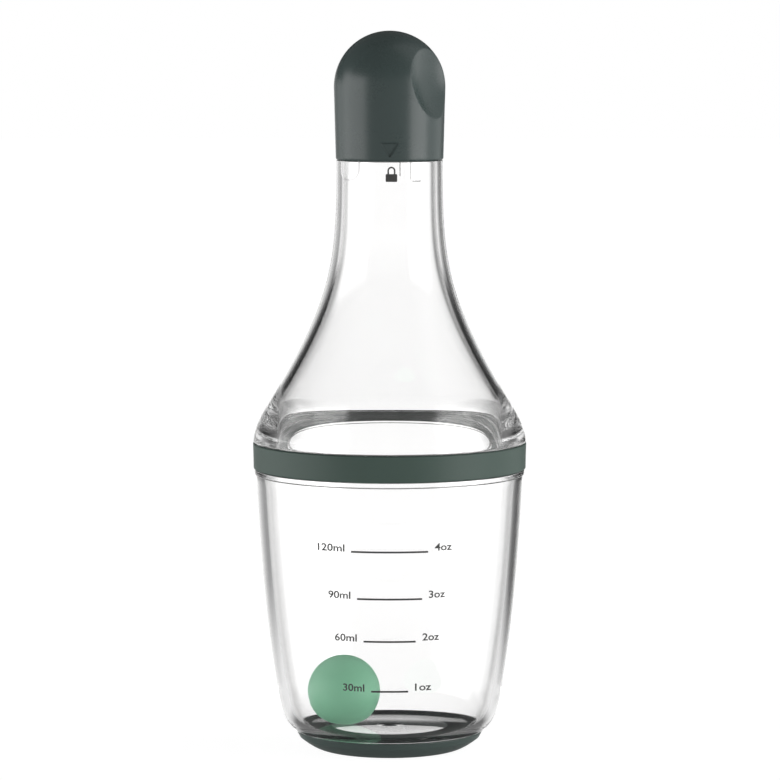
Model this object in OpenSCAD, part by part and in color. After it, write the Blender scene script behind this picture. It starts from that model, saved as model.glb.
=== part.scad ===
// Salad dressing shaker bottle: a clear beaker with a pouring measure, a clear
// bottle top that screws into it, and a dark green twist cap over a pouring lip.
// Millimetres, +Z up, origin at the centre of the face it stands on, front at -Y.

/* [Cup] */
// Outer radius of the cup just below its ledge
cup_top_r = 36.3; // [34:0.1:39]
// Height of the ledge that carries the green joint band
cup_ledge_z = 76.6; // [68:0.2:90]
// Outer radius where the side wall turns into the base corner
cup_turn_r = 30.5; // [28:0.1:33]
// Height where the side wall turns into the base corner
cup_turn_z = 16; // [13:0.5:22]
// Outer radius of the cup where the green foot takes over
cup_base_r = 25.5; // [23:0.1:27]
// Wall thickness of the cup
cup_wall = 2.4; // [1.8:0.1:3]
// Thickness of the cup's floor
cup_floor = 2.6; // [1.8:0.1:4]
// How far inside the base's radius the floor inside the cup turns flat
cup_floor_in = 3.9; // [3:0.1:8]
// Height of the plain clear lip under the ledge
cup_lip_h = 1.6; // [1:0.1:3]
// How far the lip stands proud of the side wall
cup_lip_out = 0.35; // [0.2:0.05:0.8]
// Height of the rim that stands up from the ledge inside the band
cup_rim_h = 6.6; // [5:0.1:10]
// Wall thickness of that rim
cup_rim_wall = 1.4; // [1:0.1:2]

/* [Foot] */
// Height of the foot's outer lip above the table
foot_h = 4.9; // [4:0.1:7]
// Height of the face that the cup's floor rests on
foot_seat_z = 3; // [2:0.1:4]
// Radius of the open middle of the foot
foot_hole_r = 16; // [12:0.5:20]
// Width of the flat ring that touches the table
foot_flat_w = 2.8; // [2:0.1:4]
// Thickness of the lip round the cup's base
foot_lip_t = 0.8; // [0.5:0.1:1.2]
// Height of the crease where the flank turns under
foot_crease_z = 3.1; // [2:0.1:3.6]
// How far the crease lies inside the lip's edge
foot_crease_in = 0.9; // [0.4:0.1:1.5]

/* [Joint band] */
// Height of the green band
band_h = 7.05; // [5:0.05:10]
// Radial thickness of the band
band_t = 1.7; // [1.2:0.1:2.5]
// How much narrower the band is at its lower edge
band_taper = 0.15; // [0:0.05:0.5]

/* [Mouth seal] */
// Thickness of the silicone washer on the cup's rim
seal_t = 0.5; // [0.4:0.1:1.5]

/* [Bottle top] */
// Outer radius of the neck under the cap
neck_r = 14.4; // [13:0.1:16]
// Height of the step on which the neck ends
neck_z = 160; // [140:1:180]
// Wall thickness of the neck
neck_wall = 1.9; // [1.4:0.1:2.4]
// Wall thickness of the shoulder, square to its surface
shoulder_wall = 2.2; // [1.6:0.1:2.8]
// How far inside the band's face the neck's hollow curve turns to the full shoulder
flare_in = 3.35; // [2.5:0.05:4.5]
// Height of that turn above the shoulder's lower edge
flare_h = 9.2; // [7:0.1:12]
// Lean of the wall from upright at that turn, in degrees
flare_angle = 32; // [26:1:38]
// Pull of the neck's upright start on the curve
flare_top_pull = 27; // [20:1:36]
// Pull of the leaning end on the curve
flare_end_pull = 35; // [28:1:40]
// Height above the shoulder's edge where the inner wall starts to turn upright
turn_top_h = 14.7; // [11:0.1:16]
// Depth below the shoulder's edge where the inner wall is upright
turn_low_h = 2.1; // [1:0.1:5]
// Pull of the leaning upper end on that turn
turn_top_pull = 9.6; // [4:0.1:11]
// Pull of the upright lower end on that turn
turn_low_pull = 5.5; // [3:0.1:9]
// Wall thickness of the sleeve that screws into the cup
sleeve_wall = 1.4; // [1.2:0.1:2]
// Length of that sleeve below the shoulder
sleeve_h = 7; // [5:0.1:9]
// Radial play between the sleeve and the cup's rim, which the thread takes up
sleeve_play = 0.6; // [0.4:0.1:1]

/* [Bottle finish] */
// Outer radius of the finish that carries the cap
finish_r = 11.9; // [11:0.1:13]
// Height of the finish above the neck's step
finish_h = 6.4; // [5:0.1:9]
// Wall thickness of the finish
finish_wall = 1.7; // [1.2:0.1:2.2]
// Height of the plain collar inside the cap's rim
collar_h = 1.2; // [0.8:0.1:1.6]
// Height of the slope between that collar and the finish
finish_slope_h = 1.4; // [1.2:0.1:2]

/* [Pouring spout] */
// Bore of the pouring lip
lip_bore_r = 4.3; // [3:0.1:5.5]
// Height of the pouring lip above the spout's flange
lip_h = 6.4; // [4:0.1:8]
// Wall of the pouring lip and of the plug skirt
spout_wall = 1.1; // [0.8:0.1:1.6]
// Thickness of the spout's flange
spout_flange_t = 1; // [0.8:0.1:1.5]
// Depth of the skirt that plugs the finish
spout_skirt_h = 5; // [4:0.1:6]
// How far the lip's edge curls outwards
lip_curl = 0.5; // [0.2:0.1:0.8]

/* [Cap] */
// Radius of the domed top
cap_dome_r = 15.05; // [14.6:0.05:17]
// Overall height of the cap
cap_h = 34.7; // [31:0.1:42]
// Wall thickness of the cap's skirt at the rim
cap_wall = 1.2; // [1:0.1:1.5]
// Width of the step in the cap on which its core seats
cap_step = 0.75; // [0.5:0.05:1]
// Wall thickness of the dome and behind the finger scoops
dome_wall = 2; // [1.5:0.1:2.4]
// Gap between the cap's rim and the neck's step
cap_gap = 0.35; // [0.2:0.05:0.6]
// Radius of the ball shape that hollows each finger scoop
scoop_r = 24; // [18:0.5:34]
// Deepest cut of each finger scoop
scoop_depth = 4.6; // [3:0.1:5.2]
// Height of the scoops' middle below the top of the cap
scoop_drop = 9.6; // [8:0.1:13]
// Direction of the first scoop, turned from the front towards the right
scoop_turn = 58; // [0:1:90]
// Width of the pointer mark at its upper edge
mark_w = 4.9; // [3:0.1:7]
// Height of the pointer mark
mark_h = 3.8; // [3:0.1:6]
// Height of the pointer's tip above the cap's rim
mark_lift = 1.2; // [0.6:0.1:4]
// Depth of the pointer mark
mark_depth = 0.3; // [0.2:0.05:0.6]

/* [Cap core] */
// Height of the core's skirt above the neck's step
core_lift = 3; // [2.9:0.1:3.4]
// Radial thickness of the sleeve that grips the finish
core_wall = 1.05; // [0.8:0.05:1.2]
// Thickness of the core's deck
core_deck_t = 1; // [0.8:0.1:1.5]
// Wall of the boss that holds the sealing plug
boss_wall = 1.2; // [1:0.1:1.5]

/* [Sealing plug] */
// Thickness of the plug's head
plug_head_t = 1.7; // [1.2:0.1:2.5]
// Depth that the plug's stub reaches into the pouring lip
plug_stub_h = 1.5; // [1:0.1:2.5]

/* [Mixing ball] */
// Radius of the ball
ball_r = 9.9; // [8:0.1:12]
// Distance of the resting ball from the middle, towards the left
ball_out = 12.5; // [4:0.5:14]

/* [Clearances] */
// Gap between pieces that turn or slide on each other
run_gap = 0.3; // [0.2:0.05:0.5]
// Gap between pieces that are pushed together and stay
seat_gap = 0.1; // [0.05:0.05:0.2]

/* [Hidden] */

$fn = 96;
steps = 22;   // points along each moulded curve
over = 1;     // how far a cutting shape runs past the solid

clear_tint = [0.93, 0.96, 0.96, 0.35];
dark_green = [0.24, 0.30, 0.28];
foot_green = [0.29, 0.34, 0.32];
ball_green = [0.45, 0.66, 0.52];
silicone_white = [0.86, 0.88, 0.87];

// Heights and radii that follow from the driving sizes
cup_rim_z = cup_ledge_z + cup_rim_h;
cup_bore_r = cup_top_r - cup_wall;
cup_rim_r = cup_bore_r + cup_rim_wall;
cup_floor_z = foot_seat_z + cup_floor;
cup_floor_r = cup_base_r - cup_floor_in;
band_bore_r = cup_rim_r + seat_gap;
band_r = band_bore_r + band_t;
shoulder_z = cup_rim_z + seal_t + seat_gap;
flare_r = band_r - flare_in;
flare_z = shoulder_z + flare_h;
sleeve_r = cup_bore_r - sleeve_play;
sleeve_bore_r = sleeve_r - sleeve_wall;
sleeve_z = shoulder_z - sleeve_h;
neck_bore_r = neck_r - neck_wall;
finish_z = neck_z + finish_h;
finish_bore_r = finish_r - finish_wall;
flange_z = finish_z + spout_flange_t;
lip_r = lip_bore_r + spout_wall;
lip_z = flange_z + lip_h;
core_bore_r = finish_r + run_gap;
core_r = core_bore_r + core_wall;
deck_z = flange_z + run_gap + seat_gap;
core_top_z = deck_z + core_deck_t;
boss_bore_r = lip_r + lip_curl + run_gap;
boss_r = boss_bore_r + boss_wall;
plug_z = lip_z + run_gap;
plug_top_z = plug_z + plug_head_t;
boss_top_z = plug_top_z + boss_wall;
cap_bore_r = core_r + seat_gap;
cap_rim_r = cap_bore_r + cap_wall;
collar_r = cap_bore_r - run_gap;
cap_rim_z = neck_z + cap_gap;
cap_top_z = cap_rim_z + cap_h;
dome_z = cap_top_z - cap_dome_r;
scoop_z = cap_top_z - scoop_drop;
scoop_d = cap_dome_r - scoop_depth + scoop_r;

// Point on a curve drawn by two ends and two pulls, t from 0 to 1
function curve_at(a, b, c, d, t) =
    pow(1 - t, 3) * a + 3 * pow(1 - t, 2) * t * b + 3 * (1 - t) * t * t * c + pow(t, 3) * d;

// Points along such a curve, both ends included
function curve(a, b, c, d) = [for (i = [0:steps]) curve_at(a, b, c, d, i / steps)];

// Points of a round edge about c, from angle a0 to a1
function edge_arc(c, r, a0, a1) =
    [for (i = [0:4]) let (a = a0 + (a1 - a0) * i / 4) c + r * [cos(a), sin(a)]];

// Direction that leans by an angle from straight down, outwards when positive
function lean(angle) = [sin(angle), -cos(angle)];

// Side wall of the cup from below the lip to the base corner, inset by t
function cup_side(t) =
    let (a = [cup_top_r - t, cup_ledge_z - cup_lip_h], d = [cup_turn_r - t, cup_turn_z])
    curve(a, a + 20 * lean(-3), d - 20 * lean(-10), d);

// Outer base corner of the cup, down to the top of the foot's lip
function cup_corner() =
    let (a = [cup_turn_r, cup_turn_z], d = [cup_base_r, foot_h])
    curve(a, a + 6.5 * lean(-10), d - 4 * lean(-52), d);

// Inner base corner of the cup, the outer one moved in by the wall
function cup_corner_in() =
    let (outer = cup_corner())
    [for (i = [1:steps]) let (run = outer[i] - outer[i - 1])
        (outer[i] + outer[i - 1]) / 2 + cup_wall * [run[1], -run[0]] / norm(run)];

// Inner side from that corner into the flat of the floor
function cup_well() =
    let (a = cup_corner_in()[steps - 1], d = [cup_floor_r, cup_floor_z])
    curve(a, a + lean(-52), d + [1.2, 0], d);

// Neck flare down to the turn, inset by the wall at the neck and at the turn, from z
function flare(neck_in, turn_in, z) =
    let (a = [neck_r - neck_in, z], d = [flare_r - turn_in, flare_z])
    curve(a, a - [0, flare_top_pull], d - flare_end_pull * lean(flare_angle), d);

// Full curve of the shoulder from the turn down to its lower edge
function shoulder() =
    let (a = [flare_r, flare_z], d = [band_r, shoulder_z + 0.3])
    curve(a, a + 2 * lean(flare_angle), d - 4 * lean(6), d);

module cup() {
    lip_r = cup_top_r + cup_lip_out;
    lip_z = cup_ledge_z - cup_lip_h;
    color(clear_tint) rotate_extrude() polygon(concat(
        [[0, foot_seat_z], [cup_base_r - foot_lip_t - seat_gap - 0.6, foot_seat_z],
         [cup_base_r - foot_lip_t - seat_gap, foot_h]],
        [for (i = [steps:-1:0]) cup_corner()[i]],
        [for (i = [steps - 1:-1:0]) cup_side(0)[i]],
        [[lip_r - 0.1, lip_z + 0.1], [lip_r, lip_z + 0.4], [lip_r, cup_ledge_z - 0.3],
         [lip_r - 0.3, cup_ledge_z], [cup_rim_r, cup_ledge_z], [cup_rim_r, cup_rim_z - 0.2],
         [cup_rim_r - 0.2, cup_rim_z], [cup_bore_r + 0.3, cup_rim_z],
         [cup_bore_r, cup_rim_z - 0.3]],
        cup_side(cup_wall),
        cup_corner_in(),
        [for (i = [1:steps]) cup_well()[i]],
        [[0, cup_floor_z]]
    ));
}

module base_foot() {
    edge_r = cup_base_r - 0.1;
    flat_r = foot_hole_r + foot_flat_w;
    crease = [edge_r - foot_crease_in, foot_crease_z];
    color(foot_green) rotate_extrude() polygon(concat(
        [[foot_hole_r, foot_seat_z], [foot_hole_r, 0.3], [foot_hole_r + 0.3, 0], [flat_r, 0]],
        [for (i = [1:steps]) curve_at([flat_r, 0], [flat_r + 2, 0.25], crease - [1.4, 1.1], crease, i / steps)],
        [[edge_r, foot_h - 0.2], [edge_r - 0.2, foot_h], [cup_base_r - foot_lip_t, foot_h],
         [cup_base_r - foot_lip_t - 0.6, foot_seat_z]]
    ));
}

module joint_band() {
    top_z = cup_ledge_z + band_h;
    low_r = band_r - band_taper;
    color(dark_green) rotate_extrude() polygon(concat(
        [[band_bore_r, cup_ledge_z]],
        edge_arc([low_r - 0.35, cup_ledge_z + 0.35], 0.35, -90, 0),
        edge_arc([band_r - 0.35, top_z - 0.35], 0.35, 0, 90),
        [[band_bore_r, top_z]]
    ));
}

module mouth_seal() {
    color(silicone_white) translate([0, 0, cup_rim_z]) difference() {
        cylinder(r = cup_rim_r - seat_gap, h = seal_t);
        translate([0, 0, -over]) cylinder(r = cup_bore_r + seat_gap, h = seal_t + 2 * over);
    }
}

module upper_body() {
    bore_top_z = neck_z + 0.2;
    collar_z = neck_z + collar_h;
    inner = flare(neck_wall, shoulder_wall / cos(flare_angle), bore_top_z);
    turn_z = shoulder_z + turn_top_h;
    by_height = [for (p = inner) [p[1], p[0]]];
    turn_top = [lookup(turn_z, by_height), turn_z];
    turn_lean = atan(lookup(turn_z - 0.5, by_height) - lookup(turn_z + 0.5, by_height));
    turn_low = [sleeve_bore_r, shoulder_z - turn_low_h];
    turn = curve(turn_top, turn_top + turn_top_pull * lean(turn_lean),
        turn_low + [0, turn_low_pull], turn_low);
    color(clear_tint) rotate_extrude() polygon(concat(
        [[finish_bore_r, finish_z], [finish_r - 0.3, finish_z], [finish_r, finish_z - 0.3],
         [finish_r, collar_z + finish_slope_h], [collar_r, collar_z], [collar_r, neck_z],
         [neck_r - 0.2, neck_z]],
        [for (i = [1:steps]) flare(0, 0, neck_z)[i]],
        [for (i = [1:steps]) shoulder()[i]],
        [[band_r - 0.3, shoulder_z], [sleeve_r, shoulder_z], [sleeve_r, sleeve_z + 0.5],
         [sleeve_r - 0.5, sleeve_z], [sleeve_bore_r + 0.5, sleeve_z],
         [sleeve_bore_r, sleeve_z + 0.5]],
        [for (i = [steps:-1:0]) turn[i]],
        [for (i = [steps:-1:0]) if (inner[i][1] > turn_z + 0.3) inner[i]],
        [[finish_bore_r, collar_z + finish_slope_h]]
    ));
}

module pour_spout() {
    skirt_r = finish_bore_r - seat_gap;
    color(silicone_white) rotate_extrude() polygon(concat(
        [[skirt_r - spout_wall, finish_z - spout_skirt_h], [skirt_r, finish_z - spout_skirt_h],
         [skirt_r, finish_z], [finish_r - 0.2, finish_z], [finish_r - 0.2, flange_z - 0.2],
         [finish_r - 0.4, flange_z], [lip_r + 0.6, flange_z], [lip_r, flange_z + 0.6],
         [lip_r, lip_z - 1.6], [lip_r + lip_curl, lip_z - 0.4], [lip_r + lip_curl - 0.2, lip_z],
         [lip_bore_r + 0.3, lip_z], [lip_bore_r, lip_z - 0.5], [lip_bore_r, flange_z]],
        [for (i = [1:steps]) curve_at([lip_bore_r, flange_z], [lip_bore_r, flange_z - 2],
            [skirt_r - spout_wall, finish_z - 0.8], [skirt_r - spout_wall, finish_z - spout_skirt_h], i / steps)]
    ));
}

// Ball shapes of the two finger scoops, grown by t
module scoops(t) {
    for (turn = [scoop_turn, scoop_turn + 180])
        rotate([0, 0, turn]) translate([0, -scoop_d, scoop_z]) sphere(r = scoop_r + t);
}

// Pointer mark, a triangle with its tip down, cut from the front
module pointer() {
    tip_z = cap_rim_z + mark_lift;
    translate([0, mark_depth - cap_rim_r, tip_z]) rotate([90, 0, 0])
        linear_extrude(height = mark_depth + over)
            polygon([[0, 0], [mark_w / 2, mark_h], [-mark_w / 2, mark_h]]);
}

module cap_shell() {
    upper_r = cap_bore_r - cap_step;
    color(dark_green) difference() {
        union() {
            translate([0, 0, cap_rim_z]) cylinder(r1 = cap_rim_r - 0.25, r2 = cap_rim_r, h = 0.4);
            translate([0, 0, cap_rim_z + 0.4])
                cylinder(r1 = cap_rim_r, r2 = cap_dome_r, h = dome_z - cap_rim_z - 0.4);
            translate([0, 0, dome_z]) sphere(r = cap_dome_r);
        }
        scoops(0);
        pointer();
        translate([0, 0, cap_rim_z - over]) cylinder(r = cap_bore_r, h = core_top_z - cap_rim_z + over);
        difference() {
            union() {
                translate([0, 0, core_top_z - over]) cylinder(r = upper_r, h = dome_z - core_top_z + over);
                translate([0, 0, dome_z]) sphere(r = upper_r);
            }
            scoops(dome_wall);
        }
    }
}

module cap_core() {
    skirt_z = neck_z + core_lift;
    color(silicone_white) difference() {
        union() {
            translate([0, 0, skirt_z]) cylinder(r = core_r, h = core_top_z - skirt_z);
            translate([0, 0, core_top_z]) cylinder(r = boss_r, h = boss_top_z - core_top_z);
        }
        translate([0, 0, skirt_z - over]) cylinder(r = core_bore_r, h = deck_z - skirt_z + over);
        translate([0, 0, deck_z - over]) cylinder(r = boss_bore_r, h = plug_top_z - deck_z + over);
    }
}

module spout_seal() {
    color(silicone_white) union() {
        translate([0, 0, plug_z]) cylinder(r = boss_bore_r - seat_gap, h = plug_head_t);
        translate([0, 0, plug_z - run_gap - plug_stub_h])
            cylinder(r1 = lip_bore_r - run_gap - 0.4, r2 = lip_bore_r - run_gap, h = plug_stub_h + run_gap);
    }
}

module mixing_ball() {
    color(ball_green) translate([-ball_out, 0, cup_floor_z + ball_r]) sphere(r = ball_r);
}

cup();
base_foot();
joint_band();
mouth_seal();
upper_body();
pour_spout();
cap_shell();
cap_core();
spout_seal();
mixing_ball();
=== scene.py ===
"""Dresses the salad dressing shaker bottle and sets up the studio that it is shown in.

The classes hold sizes in millimetres, as the part's source does, and meshes are made in metres.
"""
import logging
import math
from dataclasses import dataclass
from enum import Enum
from typing import Callable, Iterable, Optional

import bmesh
import bpy
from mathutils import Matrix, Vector
from mathutils.geometry import interpolate_bezier


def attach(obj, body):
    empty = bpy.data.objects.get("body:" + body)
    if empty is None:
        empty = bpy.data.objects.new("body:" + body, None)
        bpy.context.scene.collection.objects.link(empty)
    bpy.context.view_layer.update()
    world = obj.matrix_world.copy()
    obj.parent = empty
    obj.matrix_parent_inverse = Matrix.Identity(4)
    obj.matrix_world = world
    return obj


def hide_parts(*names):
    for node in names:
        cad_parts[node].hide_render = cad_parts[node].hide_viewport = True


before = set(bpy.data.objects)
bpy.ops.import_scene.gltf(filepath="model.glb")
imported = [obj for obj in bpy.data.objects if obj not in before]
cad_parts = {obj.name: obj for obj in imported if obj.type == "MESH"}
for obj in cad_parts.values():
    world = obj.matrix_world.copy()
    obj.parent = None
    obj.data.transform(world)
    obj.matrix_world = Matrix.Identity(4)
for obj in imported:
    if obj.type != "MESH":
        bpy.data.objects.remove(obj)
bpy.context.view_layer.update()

MM = 0.001
LOG = logging.getLogger("shaker_bottle")

# Rounded corners: how much of an edge one may take, how far its pulls stay from the corner
CORNER_REACH = 0.45
CORNER_PULL = 0.45
CORNER_STEPS = 4
# Parts of a full turn that a spun piece is put together from
SECTORS = 16
# The angle in degrees from which an edge stays sharp
SHARP_ANGLE = 35.0
# Height of a figure and boldness, as parts of the font's size
FIGURE_HEIGHT = 0.76
BOLDNESS = 0.045
# How far a print stands off its surface, in millimetres, and how much of that the ink fills
PRINT_LIFT = 0.03
INK_FILL = 0.8
# How near a point lies to a surface that it belongs to
ON_SURFACE = 0.05

Point = tuple[float, float]
Colour = tuple[float, float, float]
Ring = tuple[tuple[float, float], ...]
Relief = Callable[[float, float, float], float]


class Body(Enum):
    """The bodies that the new pieces ride on."""

    CUP = "cup_unit"
    TOP = "bottle_top"


class Slot(Enum):
    """Names of two of the record's material slots."""

    CLEAR = "clear_plastic"
    CORE = "core_grey"


# Shader nodes


class Expr:
    """A shader socket on which Python's arithmetic adds Math nodes."""

    def __init__(self, book: "NodeBook", socket: bpy.types.NodeSocket) -> None:
        """Keeps the node tree's book and the output socket."""
        self.book = book
        self.socket = socket

    def math(self, operation: str, *values: "Expr | float") -> "Expr":
        """Returns a Math node of this value and the others."""
        return self.book.node("ShaderNodeMath", {"operation": operation},
                              dict(enumerate((self, *values))))

    def __add__(self, other: "Expr | float") -> "Expr":
        """Returns the sum."""
        return self.math("ADD", other)

    __radd__ = __add__

    def __mul__(self, other: "Expr | float") -> "Expr":
        """Returns the product."""
        return self.math("MULTIPLY", other)

    __rmul__ = __mul__

    def __sub__(self, other: "Expr | float") -> "Expr":
        """Returns the difference."""
        return self.math("SUBTRACT", other)

    def __rsub__(self, other: float) -> "Expr":
        """Returns a number less this value."""
        return self.book.node("ShaderNodeMath", {"operation": "SUBTRACT"}, {0: other, 1: self})

    def __truediv__(self, other: "Expr | float") -> "Expr":
        """Returns the quotient."""
        return self.math("DIVIDE", other)

    def __rtruediv__(self, other: float) -> "Expr":
        """Returns a number divided by this value."""
        return self.book.node("ShaderNodeMath", {"operation": "DIVIDE"}, {0: other, 1: self})


class NodeBook:
    """Adds nodes to one node tree and links them."""

    def __init__(self, tree: bpy.types.NodeTree) -> None:
        """Keeps the tree."""
        self.tree = tree

    def node(self, kind: str, settings: Optional[dict] = None, inputs: Optional[dict] = None,
             output: int | str = 0) -> Expr:
        """Adds a node of any kind.

        Args:
            kind: The node's type.
            settings: Values set on the node before its sockets, with "stops" for a ramp.
            inputs: A value or an Expr for each socket, by name or number.
            output: The output that the Expr stands for.

        Returns:
            The node's output as an Expr.
        """
        made = self.tree.nodes.new(kind)
        for key, value in (settings or {}).items():
            if key == "stops":
                self.fill_ramp(made.color_ramp, value)
            else:
                setattr(made, key, value)
        for key, value in (inputs or {}).items():
            if isinstance(value, Expr):
                self.tree.links.new(value.socket, made.inputs[key])
            else:
                made.inputs[key].default_value = value
        return Expr(self, made.outputs[output])

    @staticmethod
    def fill_ramp(ramp: bpy.types.ColorRamp, stops: Iterable[tuple[float, Colour]]) -> None:
        """Gives a colour ramp its stops.

        Args:
            ramp: The ramp.
            stops: Pairs of a place from 0 to 1 and a colour.
        """
        stops = list(stops)
        while len(ramp.elements) < len(stops):
            ramp.elements.new(1.0)
        for element, (place, colour) in zip(ramp.elements, stops):
            element.position = place
            element.color = (*colour, 1.0)

    def noise(self, per_metre: float, detail: float = 2.0, stretch: Colour = (1, 1, 1)) -> Expr:
        """Returns a noise on Object coordinates, from 0 to 1.

        Args:
            per_metre: How many cells of the noise fit in a metre.
            detail: The noise's octaves.
            stretch: A factor along each axis, below 1 to draw the noise out.

        Returns:
            The noise's value.
        """
        place = self.node("ShaderNodeTexCoord", output="Object")
        mapped = self.node("ShaderNodeMapping", inputs={"Vector": place, "Scale": stretch})
        return self.node("ShaderNodeTexNoise", inputs={"Vector": mapped, "Scale": per_metre,
                                                       "Detail": detail}, output="Fac")

    def between(self, mask: Expr, low: Colour, high: Colour) -> Expr:
        """Returns a colour between two, by a mask from 0 to 1."""
        return self.node("ShaderNodeMix", {"data_type": "RGBA"},
                         {"Factor": mask, 6: (*low, 1.0), 7: (*high, 1.0)}, output=2)


def new_material(name: str) -> tuple[bpy.types.Material, NodeBook, bpy.types.Node]:
    """Starts a material with nodes.

    Args:
        name: The material's name.

    Returns:
        The material, its node book and its Principled shader.
    """
    material = bpy.data.materials.new(name)
    material.use_nodes = True
    shader = material.node_tree.nodes["Principled BSDF"]
    return material, NodeBook(material.node_tree), shader


def feed(shader: bpy.types.Node, values: dict[str, "Expr | float | tuple"]) -> None:
    """Sets or links a shader's sockets.

    Args:
        shader: The shader.
        values: A value or an Expr for each socket, by name.
    """
    for key, value in values.items():
        if isinstance(value, Expr):
            value.book.tree.links.new(value.socket, shader.inputs[key])
        else:
            shader.inputs[key].default_value = value


@dataclass(frozen=True)
class MouldedPlastic:
    """Opaque moulded plastic or rubber with a fine grain, a soft mottle, eased edges and an
    optional painted glow.
    """

    name: str
    colour: Colour
    roughness: float
    mottle: float = 0.05
    cloud_mm: float = 9.0
    grain_mm: float = 0.22
    grain_depth_mm: float = 0.004
    bump: float = 0.6
    edge_mm: float = 0.25
    cloud_gloss: float = 0.08
    grain_gloss: float = 0.04
    specular: float = 0.5
    # Painted glow: emission in the plastic's own colour, standing in for light scattered through
    # it
    painted_glow: float = 0.0

    def make(self) -> bpy.types.Material:
        """Makes the finish.

        Returns:
            The material.
        """
        material, book, shader = new_material(self.name)
        cloud = book.noise(1000 / self.cloud_mm, 3.0)
        grain = book.noise(1000 / self.grain_mm, 1.0)
        low = tuple(c * (1 - self.mottle) for c in self.colour)
        high = tuple(c * (1 + self.mottle) for c in self.colour)
        eased = book.node("ShaderNodeBevel", {"samples": 6}, {"Radius": self.edge_mm * MM})
        bumped = book.node("ShaderNodeBump", inputs={
            "Strength": self.bump, "Distance": self.grain_depth_mm * MM, "Height": grain,
            "Normal": eased})
        smoothest = self.roughness - (self.cloud_gloss + self.grain_gloss) / 2
        feed(shader, {
            "Base Color": book.between(cloud, low, high),
            "Roughness": cloud * self.cloud_gloss + grain * self.grain_gloss + smoothest,
            "Normal": bumped,
            "Specular IOR Level": self.specular,
            "Emission Color": (*self.colour, 1.0),
            "Emission Strength": self.painted_glow,
        })
        return material


@dataclass(frozen=True)
class ClearPlastic:
    """Clear, polished copolyester with a trace of tint and faint flow lines."""

    name: str
    tint: Colour = (0.990, 0.9885, 0.987)
    deepening: float = 0.008
    cloud_per_m: float = 60.0
    ior: float = 1.56
    flow_per_m: float = 150.0
    flow_stretch: Colour = (1.0, 1.0, 0.22)
    flow_depth_mm: float = 0.004
    bump: float = 0.5

    def make(self) -> bpy.types.Material:
        """Makes the finish.

        Returns:
            The material.
        """
        material, book, shader = new_material(self.name)
        flow = book.noise(self.flow_per_m, 1.0, self.flow_stretch)
        cloud = book.noise(self.cloud_per_m, 1.0)
        deeper = tuple(c - self.deepening for c in self.tint)
        bumped = book.node("ShaderNodeBump", inputs={
            "Strength": self.bump, "Distance": self.flow_depth_mm * MM, "Height": flow})
        feed(shader, {
            "Base Color": book.between(cloud, deeper, self.tint),
            "Roughness": 0.0,
            "IOR": self.ior,
            "Transmission Weight": 1.0,
            "Normal": bumped,
        })
        return material


@dataclass(frozen=True)
class Ink:
    """Printed ink, very slightly uneven."""

    name: str
    colour: Colour = (0.085, 0.085, 0.082)
    speckle_per_m: float = 4000.0
    thin: float = 0.8
    thick: float = 1.25
    roughness: float = 0.45
    unevenness: float = 0.15

    def make(self) -> bpy.types.Material:
        """Makes the finish.

        Returns:
            The material.
        """
        material, book, shader = new_material(self.name)
        speckle = book.noise(self.speckle_per_m)
        feed(shader, {
            "Base Color": book.between(speckle, tuple(self.thin * c for c in self.colour),
                                       tuple(self.thick * c for c in self.colour)),
            "Roughness": speckle * self.unevenness + self.roughness,
        })
        return material


# Mesh helpers


def lean(angle: float) -> Vector:
    """Returns the direction that leans by an angle in degrees from straight down."""
    return Vector((math.sin(math.radians(angle)), -math.cos(math.radians(angle))))


def curve(a: Vector, b: Vector, c: Vector, d: Vector, steps: int) -> list[Point]:
    """Returns the points of a curve drawn by two ends and two pulls."""
    return [(p.x, p.y) for p in interpolate_bezier(a, b, c, d, steps + 1)]


def line(a: Point, b: Point, steps: int) -> list[Point]:
    """Returns points along a straight line, both ends included."""
    return [tuple(Vector(a).lerp(Vector(b), i / steps)) for i in range(steps + 1)]


@dataclass(frozen=True)
class Corner:
    """A corner of an outline with its edge rounded."""

    r: float
    z: float
    radius: float = 0.0


def outline(*parts: "Corner | list[Point]") -> list[Point]:
    """Joins runs of points and corners into one, with the corners rounded.

    Args:
        parts: Corners and runs of points, in order.

    Returns:
        The points of radius and height.
    """
    raw: list[Corner] = []
    for part in parts:
        raw += [part] if isinstance(part, Corner) else [Corner(*p) for p in part]
    points: list[Point] = []
    for i, corner in enumerate(raw):
        here = Vector((corner.r, corner.z))
        if not corner.radius:
            points.append(tuple(here))
            continue
        before, after = raw[i - 1], raw[(i + 1) % len(raw)]
        to_before = Vector((before.r, before.z)) - here
        to_after = Vector((after.r, after.z)) - here
        half = to_before.angle(to_after) / 2
        reach = min(corner.radius / math.tan(half), CORNER_REACH * to_before.length,
                    CORNER_REACH * to_after.length)
        start, end = to_before.normalized() * reach, to_after.normalized() * reach
        points += curve(here + start, here + CORNER_PULL * start, here + CORNER_PULL * end,
                        here + end, CORNER_STEPS)
    return points


def radius_at(points: list[Point], z: float) -> float:
    """Reads a falling outline at a height.

    Args:
        points: The outline, from its upper end down.
        z: The height.

    Returns:
        The radius there, or that of the nearer end outside the outline.
    """
    for (r0, z0), (r1, z1) in zip(points, points[1:]):
        if z1 <= z <= z0:
            return r0 + (r1 - r0) * (z0 - z) / max(z0 - z1, 1e-9)
    return points[0][0] if z > points[0][1] else points[-1][0]


def piece(name: str, mesh: bmesh.types.BMesh) -> bpy.types.Object:
    """Turns a bmesh into a smooth-shaded object in the scene.

    Args:
        name: The object's name.
        mesh: The bmesh, which is freed.

    Returns:
        The object, at the origin.
    """
    data = bpy.data.meshes.new(name)
    mesh.to_mesh(data)
    mesh.free()
    data.shade_smooth()
    data.set_sharp_from_angle(angle=math.radians(SHARP_ANGLE))
    made = bpy.data.objects.new(name, data)
    bpy.context.scene.collection.objects.link(made)
    return made


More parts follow.
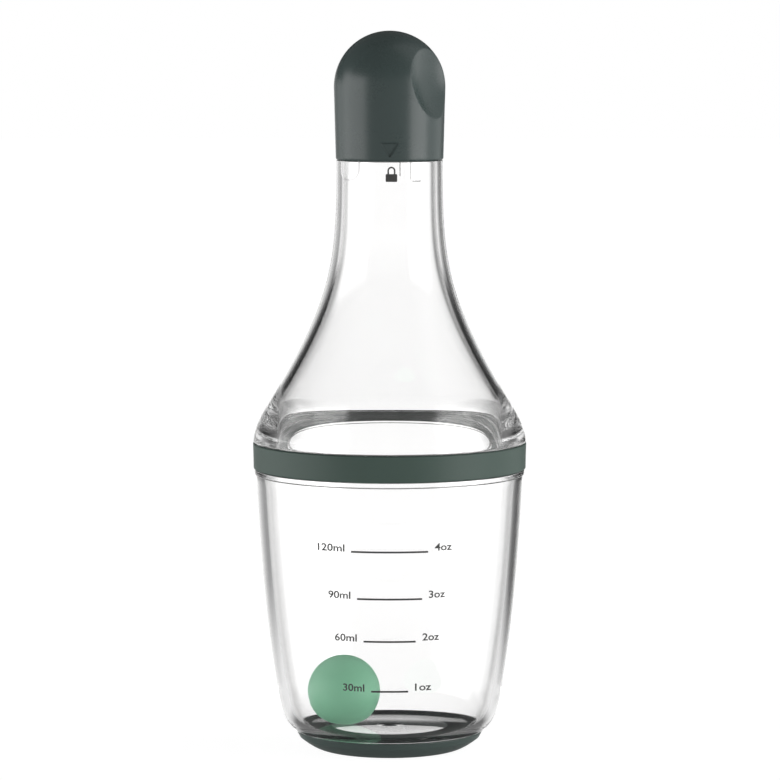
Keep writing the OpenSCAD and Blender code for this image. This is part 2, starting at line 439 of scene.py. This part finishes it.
def spun(name: str, points: list[Point], steps: int,
         relief: Optional[Relief] = None) -> bpy.types.Object:
    """Spins an outline round the bottle's axis.

    Args:
        name: The object's name.
        points: The outline in millimetres, closed unless it starts on the axis.
        steps: How many steps the full turn has, a multiple of SECTORS.
        relief: Gives the millimetres by which a point at an angle, height and radius stands out.

    Returns:
        The object.
    """
    mesh = bmesh.new()
    ring = [mesh.verts.new((r * MM, 0.0, z * MM)) for r, z in points]
    wire = [mesh.edges.new(pair) for pair in zip(ring, ring[1:])]
    if points[0][0] > 0:
        wire.append(mesh.edges.new((ring[-1], ring[0])))
    bmesh.ops.spin(mesh, geom=ring + wire, cent=(0, 0, 0), axis=(0, 0, 1), dvec=(0, 0, 0),
                   angle=math.tau / SECTORS, steps=steps // SECTORS)
    others = SECTORS - 1
    bmesh.ops.spin(mesh, geom=mesh.verts[:] + mesh.edges[:] + mesh.faces[:], cent=(0, 0, 0),
                   axis=(0, 0, 1), dvec=(0, 0, 0), angle=math.tau * others / SECTORS, steps=others,
                   use_duplicate=True)
    bmesh.ops.remove_doubles(mesh, verts=mesh.verts, dist=1e-6)
    if relief:
        for vert in mesh.verts:
            r = vert.co.xy.length
            rise = relief(math.degrees(math.atan2(vert.co.x, -vert.co.y)), vert.co.z / MM, r / MM)
            if rise:
                vert.co.xy *= 1 + rise * MM / r
    bmesh.ops.recalc_face_normals(mesh, faces=mesh.faces)
    return piece(name, mesh)


def smooth(edge0: float, edge1: float, value: float) -> float:
    """Returns a smooth step from 0 to 1 as the value goes from one edge to the other."""
    t = min(max((value - edge0) / (edge1 - edge0), 0.0), 1.0)
    return t * t * (3 - 2 * t)


def wrapped(mesh: bmesh.types.BMesh, radius: Callable[[float], float]) -> None:
    """Bends a flat print round the bottle's front and gives it a thickness.

    Args:
        mesh: The print, with X along the arc and Y up, in millimetres.
        radius: The surface's radius at a height.
    """
    for vert in mesh.verts:
        r = radius(vert.co.y)
        turn = vert.co.x / r
        out = r + PRINT_LIFT
        vert.co = Vector((math.sin(turn) * out, -math.cos(turn) * out, vert.co.y)) * MM
    bmesh.ops.recalc_face_normals(mesh, faces=mesh.faces)
    for face in mesh.faces:
        if face.normal.dot(face.calc_center_median().xy.to_3d()) < 0:
            face.normal_flip()
    bmesh.ops.solidify(mesh, geom=mesh.faces[:], thickness=PRINT_LIFT * INK_FILL * MM)


def lettering(text: str, x: float, y: float, height: float, width: float,
              right: bool) -> bmesh.types.BMesh:
    """Makes flat, bold lettering in millimetres.

    Args:
        text: The characters.
        x: Where the text starts, or ends if right is true.
        y: The height of its base line.
        height: The height of its figures.
        width: The width of the whole text.
        right: Whether x is the text's right-hand end.

    Returns:
        The lettering, with X along its base line and Y up.
    """
    words = bpy.data.curves.new("lettering", "FONT")
    words.body = text
    words.size = height / FIGURE_HEIGHT
    words.offset = BOLDNESS
    words.resolution_u = 4
    holder = bpy.data.objects.new("lettering", words)
    mesh = bmesh.new()
    flat = holder.to_mesh()
    mesh.from_mesh(flat)
    holder.to_mesh_clear()
    bpy.data.objects.remove(holder)
    bpy.data.curves.remove(words)
    low = min(v.co.x for v in mesh.verts)
    high = max(v.co.x for v in mesh.verts)
    bmesh.ops.translate(mesh, verts=mesh.verts, vec=(-(high if right else low), y, 0))
    bmesh.ops.scale(mesh, verts=mesh.verts, vec=(width / (high - low), 1, 1))
    bmesh.ops.translate(mesh, verts=mesh.verts, vec=(x, 0, 0))
    bmesh.ops.remove_doubles(mesh, verts=mesh.verts, dist=1e-5)
    return mesh


def strip(mesh: bmesh.types.BMesh, x0: float, x1: float, y0: float, y1: float, cuts: int) -> None:
    """Adds a flat rectangle, cut across so that it can bend.

    Args:
        mesh: The bmesh that gets it.
        x0: Its left side.
        x1: Its right side.
        y0: Its lower side.
        y1: Its upper side.
        cuts: How many parts it is cut into.
    """
    made = bmesh.ops.create_grid(mesh, x_segments=cuts, y_segments=1, size=0.5)["verts"]
    bmesh.ops.scale(mesh, verts=made, vec=(x1 - x0, y1 - y0, 1))
    bmesh.ops.translate(mesh, verts=made, vec=((x0 + x1) / 2, (y0 + y1) / 2, 0))


def merged(target: bmesh.types.BMesh, other: bmesh.types.BMesh) -> None:
    """Moves all of one bmesh into another.

    Args:
        target: The bmesh that gets it.
        other: The bmesh that is moved, which is freed.
    """
    data = bpy.data.meshes.new("part")
    other.to_mesh(data)
    other.free()
    target.from_mesh(data)
    bpy.data.meshes.remove(data)


def settle(made: bpy.types.Object, body: Body, slot: Slot, material: bpy.types.Material,
           *replaced: str) -> None:
    """Dresses a new piece, puts it on its body and hides the CAD nodes that it replaces.

    Args:
        made: The piece.
        body: The body that it rides on.
        slot: Not used.
        material: Its material.
        replaced: The CAD nodes that it replaces.
    """
    made.data.materials.append(material)
    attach(made, body.value)
    if replaced:
        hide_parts(*replaced)
    LOG.info("%s on %s: %d faces", made.name, body.value, len(made.data.polygons))


def dress(node: str, material: bpy.types.Material) -> None:
    """Gives a CAD node its material.

    Args:
        node: The node's name.
        material: The material.
    """
    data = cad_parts[node].data
    data.materials.clear()
    data.materials.append(material)
    LOG.info("%s dressed", node)


# The bottle


@dataclass(frozen=True)
class Thread:
    """A coarse thread of several starts, as low ridges."""

    starts: int
    pitch: float
    rise: float
    width: float
    low: float
    high: float
    run_out: float = 0.5
    flank_out: float = 0.25
    flank_in: float = 0.15

    def height(self, angle: float, z: float) -> float:
        """Finds how far the ridge stands out at one place.

        Args:
            angle: The angle round the bottle in degrees, 0 at the front.
            z: The height.

        Returns:
            The rise, 0 beside the ridge.
        """
        if not self.low < z < self.high:
            return 0.0
        step = self.pitch / self.starts
        off = (z - self.low - angle / 360 * self.pitch) % step
        near = min(off, step - off)
        fade = smooth(self.low, self.low + self.run_out, z) \
            * smooth(self.high, self.high - self.run_out, z)
        return self.rise * fade * smooth(self.width / 2 + self.flank_out,
                                         self.width / 2 - self.flank_in, near)


@dataclass(frozen=True)
class VolumeMark:
    """One line of the measuring scale with its two labels."""

    z: float
    half_arc: float
    left: str
    left_w: float
    right: str
    right_w: float


@dataclass(frozen=True)
class Cup:
    """The clear cup with its measuring scale."""

    top_r: float = 36.3
    ledge_z: float = 76.6
    turn_r: float = 30.5
    turn_z: float = 16.0
    base_r: float = 25.5
    wall: float = 2.4
    floor_r: float = 21.6
    floor_z: float = 5.6
    lip_h: float = 1.6
    lip_out: float = 0.35
    rim_h: float = 6.6
    rim_wall: float = 1.4
    seat_z: float = 2.98
    foot_h: float = 4.9
    foot_r: float = 24.72
    gate_r: float = 1.1
    gate_flat_r: float = 0.4
    gate_edge: float = 0.25
    gate_depth: float = 0.3
    gate_tip: float = 0.1
    gate_room: float = 0.4
    # How the side and the base corner lean from straight down, and how far their ends pull
    top_lean: float = -3.0
    turn_lean: float = -10.0
    base_lean: float = -52.0
    side_pull: float = 20.0
    corner_top_pull: float = 6.5
    corner_low_pull: float = 4.0
    floor_pull: float = 1.2
    # How deep the foot's lip is pressed on, the step beside it and the draft below it
    foot_press: float = 0.04
    foot_step: float = 0.45
    foot_draft: float = 0.6
    # The lip's slope, how far the rim stays inside the solid's, and the room for its rounding
    lip_slope: float = 0.2
    inside: float = 0.01
    rim_room: float = 0.6
    steps: int = 256
    line_h: float = 0.5
    figure_h: float = 2.1
    label_gap: float = 1.85
    right_lift: float = 0.25
    thread: Thread = Thread(4, 12.0, 0.22, 0.9, 77.6, 82.6)
    marks: tuple[VolumeMark, ...] = (
        VolumeMark(58.0, 10.35, "120ml", 7.95, "4oz", 4.95),
        VolumeMark(45.3, 8.72, "90ml", 6.4, "3oz", 4.6),
        VolumeMark(33.75, 6.98, "60ml", 6.25, "2oz", 4.7),
        VolumeMark(20.06, 4.95, "30ml", 5.95, "1oz", 4.5),
    )

    def side(self, inset: float) -> list[Point]:
        """Draws the side wall from below the lip to the base corner.

        Args:
            inset: How far it lies inside the outer side.

        Returns:
            The points from the top down.
        """
        a = Vector((self.top_r - inset, self.ledge_z - self.lip_h))
        d = Vector((self.turn_r - inset, self.turn_z))
        return curve(a, a + self.side_pull * lean(self.top_lean),
                     d - self.side_pull * lean(self.turn_lean), d, steps=40)

    def corner(self) -> list[Point]:
        """Draws the outer base corner down to the foot's lip.

        Returns:
            The points from the top down.
        """
        a, d = Vector((self.turn_r, self.turn_z)), Vector((self.base_r, self.foot_h))
        return curve(a, a + self.corner_top_pull * lean(self.turn_lean),
                     d - self.corner_low_pull * lean(self.base_lean), d, steps=24)

    def well(self) -> list[Point]:
        """Draws the inner base corner, the outer one moved in by the wall, into the floor.

        Returns:
            The points from the top down.
        """
        outer = [Vector(p) for p in self.corner()]
        inner = [(p + q) / 2 - self.wall * (q - p).orthogonal().normalized()
                 for p, q in zip(outer, outer[1:])]
        d = Vector((self.floor_r, self.floor_z))
        into_floor = curve(inner[-1], inner[-1] + lean(self.base_lean),
                           d + Vector((self.floor_pull, 0)), d, steps=10)
        return [tuple(p) for p in inner] + into_floor[1:]

    def profile(self) -> list[Point]:
        """Draws the cup's outline.

        Returns:
            The points from the axis below the floor, round the outside, to the axis above it.
        """
        lip_r, lip_z = self.top_r + self.lip_out, self.ledge_z - self.lip_h
        bore_r, rim_z = self.top_r - self.wall, self.ledge_z + self.rim_h
        rim_r = bore_r + self.rim_wall - self.inside
        step_z, gate_r = self.foot_h - self.foot_press, self.gate_r + self.gate_room
        return outline(
            line((0, self.seat_z), (self.foot_r - self.foot_draft, self.seat_z), steps=8),
            [(self.foot_r, step_z), (self.foot_r + self.foot_step, step_z)],
            self.corner()[-2::-1], self.side(0)[-2:0:-1],
            Corner(self.top_r, lip_z, 0.1), Corner(lip_r, lip_z + self.lip_slope, 0.3),
            Corner(lip_r, self.ledge_z, 0.3), Corner(rim_r, self.ledge_z, 0.15),
            Corner(rim_r, rim_z, 0.2), Corner(bore_r, rim_z, 0.3),
            line((bore_r, rim_z - self.rim_room), (bore_r, self.ledge_z), steps=30),
            self.side(self.wall)[1:-1], self.well(),
            line((self.floor_r - 1, self.floor_z), (gate_r, self.floor_z), steps=8),
            Corner(self.gate_r, self.floor_z - self.gate_edge, 0.2),
            Corner(self.gate_flat_r, self.floor_z - self.gate_depth, 0.2),
            [(0.0, self.floor_z - self.gate_tip)])

    def relief(self, angle: float, z: float, r: float) -> float:
        """Returns the inner thread's rise, which points inwards."""
        in_bore = abs(r - self.top_r + self.wall) < ON_SURFACE
        return -self.thread.height(angle, z) if in_bore else 0.0

    def scale(self) -> bpy.types.Object:
        """Prints the measuring scale.

        Returns:
            The scale's lines and labels as one piece.
        """
        mesh = bmesh.new()
        for mark in self.marks:
            strip(mesh, -mark.half_arc, mark.half_arc, mark.z - self.line_h / 2,
                  mark.z + self.line_h / 2, cuts=24)
            start = mark.half_arc + self.label_gap
            merged(mesh, lettering(mark.left, -start, mark.z, self.figure_h, mark.left_w, True))
            merged(mesh, lettering(mark.right, start, mark.z + self.right_lift, self.figure_h,
                                   mark.right_w, False))
        side = self.side(0)
        wrapped(mesh, lambda z: radius_at(side, z))
        return piece("volume_scale", mesh)

    def build(self, clear: bpy.types.Material, ink: bpy.types.Material) -> None:
        """Makes the cup and its scale.

        Args:
            clear: The clear plastic.
            ink: The print's ink.
        """
        settle(spun("clear_cup", self.profile(), self.steps, self.relief), Body.CUP, Slot.CLEAR,
               clear, "cup")
        settle(self.scale(), Body.CUP, Slot.CORE, ink)


@dataclass(frozen=True)
class Tab:
    """A raised rounded tab on the neck below the cap."""

    left: float
    right: float
    low: float
    corner: float
    rise: float
    edge_out: float = 0.05
    edge_in: float = 0.45

    def height(self, angle: float, z: float, r: float) -> float:
        """Finds how far the tab stands out at one place.

        Args:
            angle: The angle round the bottle in degrees, 0 at the front.
            z: The height.
            r: The neck's radius there.

        Returns:
            The rise, 0 beside the tab.
        """
        half = math.radians(self.right - self.left) / 2 * r
        across = abs(math.radians(angle - (self.left + self.right) / 2)) * r - (half - self.corner)
        down = self.low + self.corner - z
        inside = self.corner - math.hypot(max(across, 0), max(down, 0))
        return self.rise * smooth(-self.edge_out, self.edge_in, inside)


@dataclass(frozen=True)
class BottleTop:
    """The clear bottle top with its neck, shoulder, sleeve and finish."""

    neck_r: float = 14.4
    neck_z: float = 160.0
    neck_wall: float = 1.9
    collar_r: float = 13.05
    collar_h: float = 1.2
    wall: float = 2.2
    band_r: float = 37.1
    edge_z: float = 83.8
    flare_in: float = 3.35
    flare_h: float = 9.2
    flare_angle: float = 32.0
    top_pull: float = 27.0
    end_pull: float = 35.0
    turn_top_h: float = 14.7
    turn_low_h: float = 2.1
    turn_top_pull: float = 9.6
    turn_low_pull: float = 5.5
    sleeve_r: float = 33.3
    sleeve_wall: float = 1.4
    sleeve_h: float = 7.0
    finish_r: float = 11.9
    finish_h: float = 6.4
    finish_wall: float = 1.7
    slope_h: float = 1.4
    steps: int = 288
    thread: Thread = Thread(4, 12.0, 0.26, 0.9, 77.6, 82.8)
    grip: Thread = Thread(3, 6.0, 0.15, 0.8, 162.2, 165.6)
    tabs: tuple[Tab, ...] = (
        Tab(-65.0, -33.5, 155.1, 3.2, 0.12),
        Tab(22.0, 38.0, 154.9, 0.9, 0.2),
        Tab(9.9, 12.6, 156.0, 0.3, 0.24),
    )
    # The height above which tabs may stand, and how near the neck's radius they start
    tabs_z: float = 154.0
    tabs_room: float = 0.3
    step_z: float = 160.22
    # How far the neck and the shoulder's edge stay inside the solid's, and the edge's easing
    inside: float = 0.01
    edge_ease: float = 0.3
    edge_lean: float = 6.0
    edge_pull: float = 4.0
    shoulder_pull: float = 2.0
    # The neck's outline keeps each point above this height and every third below it
    fine_z: float = 153.5
    # How far the inner side runs past the neck's top, and where it starts above the turn
    inner_over: float = 0.2
    turn_room: float = 0.4
    # Room for the rounding at the ends of the two threaded runs, upper and lower
    finish_room: tuple[float, float] = (0.5, 0.3)
    sleeve_room: tuple[float, float] = (0.3, 0.6)
    lock_x: float = 0.48
    lock_z: float = 155.0
    lock_half: float = 1.55
    lock_h: float = 2.1
    lock_corner: float = 0.25
    shackle_r: float = 0.86
    shackle_leg: float = 0.9
    shackle_bar: float = 0.42
    shackle_sunk: float = 0.05

    def flare(self, neck_in: float, turn_in: float, z: float, steps: int) -> list[Point]:
        """Draws the neck's hollow curve down to the shoulder's turn.

        Args:
            neck_in: How far it lies inside the outer side at the neck.
            turn_in: The same at the shoulder's turn.
            z: The height of its upper end.
            steps: How many parts it has.

        Returns:
            The points from the top down.
        """
        a = Vector((self.neck_r - neck_in, z))
        d = Vector((self.band_r - self.flare_in - turn_in, self.edge_z + self.flare_h))
        return curve(a, a - Vector((0, self.top_pull)),
                     d - self.end_pull * lean(self.flare_angle), d, steps)

    def outer(self) -> list[Point]:
        """Draws the outer side from the neck's top to the shoulder's lower edge.

        Returns:
            The points from the top down.
        """
        neck = [p for i, p in enumerate(self.flare(0, 0, self.neck_z, steps=210))
                if p[1] > self.fine_z or i % 3 == 0]
        a = Vector((self.band_r - self.flare_in, self.edge_z + self.flare_h))
        d = Vector((self.band_r, self.edge_z + self.edge_ease))
        return neck + curve(a, a + self.shoulder_pull * lean(self.flare_angle),
                            d - self.edge_pull * lean(self.edge_lean), d, steps=26)[1:]

    def inner(self) -> list[Point]:
        """Draws the inner side from the sleeve up to the neck.

        Returns:
            The points from the bottom up.
        """
        full = self.flare(self.neck_wall, self.wall / math.cos(math.radians(self.flare_angle)),
                          self.neck_z + self.inner_over, steps=72)
        turn_z = self.edge_z + self.turn_top_h
        top = Vector((radius_at(full, turn_z), turn_z))
        slope = radius_at(full, turn_z - 0.5) - radius_at(full, turn_z + 0.5)
        low = Vector((self.sleeve_r - self.sleeve_wall, self.edge_z - self.turn_low_h))
        turn = curve(top, top + self.turn_top_pull * lean(math.degrees(math.atan(slope))),
                     low + Vector((0, self.turn_low_pull)), low, steps=36)
        return turn[::-1] + [p for p in full[::-1] if p[1] > turn_z + self.turn_room]

    def profile(self) -> list[Point]:
        """Draws the bottle top's closed outline.

        Returns:
            The points from the finish's bore, down the outside and up the inside.
        """
        finish_z = self.neck_z + self.finish_h
        bore_r = self.finish_r - self.finish_wall
        slope_z = self.neck_z + self.collar_h + self.slope_h
        sleeve_z = self.edge_z - self.sleeve_h
        low_r = self.sleeve_r - self.sleeve_wall
        return outline(
            Corner(bore_r, finish_z, 0.15), Corner(self.finish_r, finish_z, 0.3),
            line((self.finish_r, finish_z - self.finish_room[0]),
                 (self.finish_r, slope_z + self.finish_room[1]), steps=18),
            Corner(self.finish_r, slope_z, 0.3),
            Corner(self.collar_r, self.neck_z + self.collar_h, 0.3),
            Corner(self.collar_r, self.step_z, 0.1),
            Corner(self.neck_r - self.inside, self.step_z, 0.08),
            self.outer()[1:-1],
            Corner(self.band_r, self.edge_z + self.edge_ease, 0.2),
            Corner(self.band_r - self.edge_ease, self.edge_z, 0.2),
            Corner(self.sleeve_r, self.edge_z, 0.2),
            line((self.sleeve_r, self.edge_z - self.sleeve_room[0]),
                 (self.sleeve_r, sleeve_z + self.sleeve_room[1]), steps=34),
            Corner(self.sleeve_r, sleeve_z, 0.5), Corner(low_r, sleeve_z, 0.5),
            self.inner(), Corner(bore_r, slope_z, 0.6))

    def relief(self, angle: float, z: float, r: float) -> float:
        """Finds how far the threads, and the tabs below the cap, stand out at one place.

        Args:
            angle: The angle round the bottle in degrees, 0 at the front.
            z: The height.
            r: The radius of the plain surface there.

        Returns:
            The rise, 0 on plain surfaces.
        """
        if z < self.edge_z and abs(r - self.sleeve_r) < ON_SURFACE:
            return self.thread.height(angle, z)
        if z > self.neck_z + self.collar_h and abs(r - self.finish_r) < ON_SURFACE:
            return self.grip.height(angle, z)
        if z > self.tabs_z and abs(r - self.neck_r) < self.tabs_room:
            return max(tab.height(angle, z, r) for tab in self.tabs)
        return 0.0

    def padlock(self) -> bpy.types.Object:
        """Prints the padlock.

        Returns:
            Its body and shackle as one piece.
        """
        mesh = bmesh.new()
        x, z, half, bar = self.lock_x, self.lock_z, self.lock_half, self.shackle_bar
        top = z + self.lock_h
        bend = top + self.shackle_leg
        strip(mesh, x - half, x + half, z, top, cuts=6)
        corners = [v for v in mesh.verts if abs(abs(v.co.x - x) - half) < 1e-4]
        bmesh.ops.bevel(mesh, geom=corners, offset=self.lock_corner, affect="VERTICES", segments=3,
                        profile=0.5, material=-1)
        start = mesh.verts.new((x + self.shackle_r - bar / 2, bend, 0))
        end = mesh.verts.new((x + self.shackle_r + bar / 2, bend, 0))
        arc = [start, end, mesh.edges.new((start, end))]
        bmesh.ops.spin(mesh, geom=arc, cent=(x, bend, 0), axis=(0, 0, 1), dvec=(0, 0, 0),
                       angle=math.pi, steps=20)
        for side in (-1, 1):
            leg = x + side * self.shackle_r
            strip(mesh, leg - bar / 2, leg + bar / 2, top - self.shackle_sunk, bend, cuts=1)
        bmesh.ops.remove_doubles(mesh, verts=mesh.verts, dist=1e-4)
        wrapped(mesh, lambda z: self.neck_r)
        return piece("lock_print", mesh)

    def build(self, clear: bpy.types.Material, ink: bpy.types.Material) -> None:
        """Makes the bottle top and the padlock on its neck.

        Args:
            clear: The clear plastic.
            ink: The print's ink.
        """
        settle(spun("clear_bottle_top", self.profile(), self.steps, self.relief), Body.TOP,
               Slot.CLEAR, clear, "upper_body")
        settle(self.padlock(), Body.TOP, Slot.CORE, ink)


# The studio


@dataclass(frozen=True)
class Studio:
    """The camera, the floor and the soft surround."""

    distance: float = 1.245
    pitch: float = 5.5
    aim_z: float = 0.0978
    px_per_mm: float = 3.685
    image_px: int = 780
    side_m: float = 0.0001
    sensor_mm: float = 36.0
    floor_m: float = 4.0
    floor_low: Colour = (0.26, 0.26, 0.26)
    floor_high: Colour = (0.3, 0.3, 0.3)
    floor_cloud_per_m: float = 3.0
    floor_glow: float = 0.95
    bounces: int = 80
    # Each ring gives angles in degrees, from straight behind the bottle towards the right, and
    # the brightness there. This one is for about the camera's height.
    surround: Ring = (
        (-180, 0.36), (-134, 0.36), (-125, 2.5), (-76, 2.2), (-60, 0.95), (-46, 0.9),
        (-38, 0.25), (-33, 0.28), (-27, 0.42), (-17, 0.54), (-13, 0.92), (-9, 1.16), (9, 1.16),
        (13, 0.95), (17, 0.08), (33, 0.12), (41, 0.5), (47, 0.95), (92, 1.0), (98, 3.6),
        (132, 3.6), (139, 0.36), (180, 0.36))
    # Above the horizon, where the table meets it, and overhead
    upper: Ring = (
        (-180, 0.36), (-134, 0.36), (-125, 2.5), (-76, 2.2), (-60, 0.03), (42, 0.03), (58, 0.7),
        (92, 0.7), (98, 3.6), (132, 3.6), (139, 0.36), (180, 0.36))
    table: Ring = (
        (-180, 0.6), (-134, 0.6), (-120, 0.9), (-60, 0.9), (-14, 0.75), (-9, 1.16), (9, 1.16),
        (14, 0.75), (60, 0.9), (128, 0.9), (139, 0.6), (180, 0.6))
    overhead: Ring = ((-180, 0.1), (34, 0.1), (58, 0.48), (110, 0.48), (135, 0.1), (180, 0.1))
    # Brightness straight below, and the heights on a ball of radius 1 between which one part
    # gives way to the next
    below: float = 0.16
    under: tuple[float, float] = (-0.42, -0.3)
    near: tuple[float, float] = (-0.24, -0.18)
    horizon: tuple[float, float] = (0.04, 0.11)
    panel_top: tuple[float, float] = (0.26, 0.36)

    def camera(self) -> None:
        """Adds the camera at the photograph's viewing angle."""
        pitch = math.radians(self.pitch)
        data = bpy.data.cameras.new("camera")
        data.sensor_width = self.sensor_mm
        data.lens = data.sensor_width * self.px_per_mm * self.distance / MM / self.image_px
        made = bpy.data.objects.new("camera", data)
        made.location = (self.side_m, -self.distance * math.cos(pitch),
                         self.aim_z + self.distance * math.sin(pitch))
        made.rotation_euler = (math.pi / 2 - pitch, 0, 0)
        bpy.context.scene.collection.objects.link(made)
        bpy.context.scene.camera = made

    def world(self) -> None:
        """Adds a surround of soft panels with dark gaps, plain where the camera sees it itself."""
        world = bpy.data.worlds.new("studio")
        world.use_nodes = True
        bpy.context.scene.world = world
        book = NodeBook(world.node_tree)
        ray = book.node("ShaderNodeTexCoord", output="Generated")
        x, y, z = (book.node("ShaderNodeSeparateXYZ", inputs={0: ray}, output=i) for i in range(3))
        turn = x.math("ARCTAN2", y) / math.tau + 0.5
        brightest = max(b for _, b in self.surround)
        low, high, table, top = (book.node("ShaderNodeValToRGB", {
            "stops": [(a / 360 + 0.5, (b / brightest,) * 3) for a, b in ring]}, {"Fac": turn})
            for ring in (self.surround, self.upper, self.table, self.overhead))
        seen = (self.below / brightest,) * 3 + (1.0,)
        for (start, end), above in ((self.under, table), (self.near, low), (self.horizon, high),
                                    (self.panel_top, top)):
            share = book.node("ShaderNodeMapRange", inputs={
                "Value": z, "From Min": start, "From Max": end})
            seen = book.node("ShaderNodeMix", {"data_type": "RGBA"},
                             {"Factor": share, 6: seen, 7: above}, output=2)
        direct = book.node("ShaderNodeLightPath", output="Is Camera Ray")
        plain = (1 / brightest,) * 3 + (1.0,)
        seen = book.node("ShaderNodeMix", {"data_type": "RGBA"},
                         {"Factor": direct, 6: seen, 7: plain}, output=2)
        feed(world.node_tree.nodes["Background"], {"Color": seen, "Strength": brightest})

    def floor(self) -> None:
        """Adds the plain pale floor."""
        mesh = bmesh.new()
        bmesh.ops.create_grid(mesh, x_segments=1, y_segments=1, size=self.floor_m)
        made = piece("floor", mesh)
        for rays in ("diffuse", "glossy", "transmission", "shadow"):
            setattr(made, "visible_" + rays, False)
        material, book, shader = new_material("pale_floor")
        cloud = book.noise(self.floor_cloud_per_m, 1.0)
        feed(shader, {
            "Base Color": book.between(cloud, self.floor_low, self.floor_high),
            "Roughness": 0.8,
            "Specular IOR Level": 0.0,
            "Emission Color": (1, 1, 1, 1),
            "Emission Strength": self.floor_glow,
        })
        made.data.materials.append(material)

    def build(self) -> None:
        """Sets up the whole studio."""
        self.camera()
        self.world()
        self.floor()
        scene = bpy.context.scene
        scene.view_settings.view_transform = "Standard"
        # Light runs far along the thick clear walls before it leaves them
        for rays in ("max", "glossy", "transmission"):
            setattr(scene.cycles, rays + "_bounces", self.bounces)


def main() -> None:
    """Builds the classes in order and reports each piece."""
    logging.basicConfig(level=logging.INFO, format="%(name)s: %(message)s")
    Studio().build()
    clear = ClearPlastic("clear_copolyester").make()
    ink = Ink("grey_ink").make()
    Cup().build(clear, ink)
    BottleTop().build(clear, ink)
    dress("joint_band",
          MouldedPlastic("band_satin", (0.098, 0.148, 0.126), 0.42, specular=0.3).make())
    dress("base_foot", MouldedPlastic("foot_rubber", (0.092, 0.127, 0.117), 0.4).make())
    dress("cap_shell",
          MouldedPlastic("cap_satin", (0.076, 0.106, 0.102), 0.28, edge_mm=0.8).make())
    # The ball's glow is painted light: emission standing in for light scattered through its
    # plastic
    dress("mixing_ball",
          MouldedPlastic("ball_plastic", (0.35, 0.80, 0.52), 0.35, painted_glow=0.22).make())
    dress("pour_spout", MouldedPlastic("spout_plastic", (0.80, 0.82, 0.80), 0.3).make())
    dress("cap_core", MouldedPlastic("core_plastic", (0.40, 0.43, 0.41), 0.4).make())
    silicone = MouldedPlastic("silicone_rubber", (0.72, 0.75, 0.73), 0.5).make()
    dress("mouth_seal", silicone)
    dress("spout_seal", silicone)


if __name__ == "__main__":
    main()
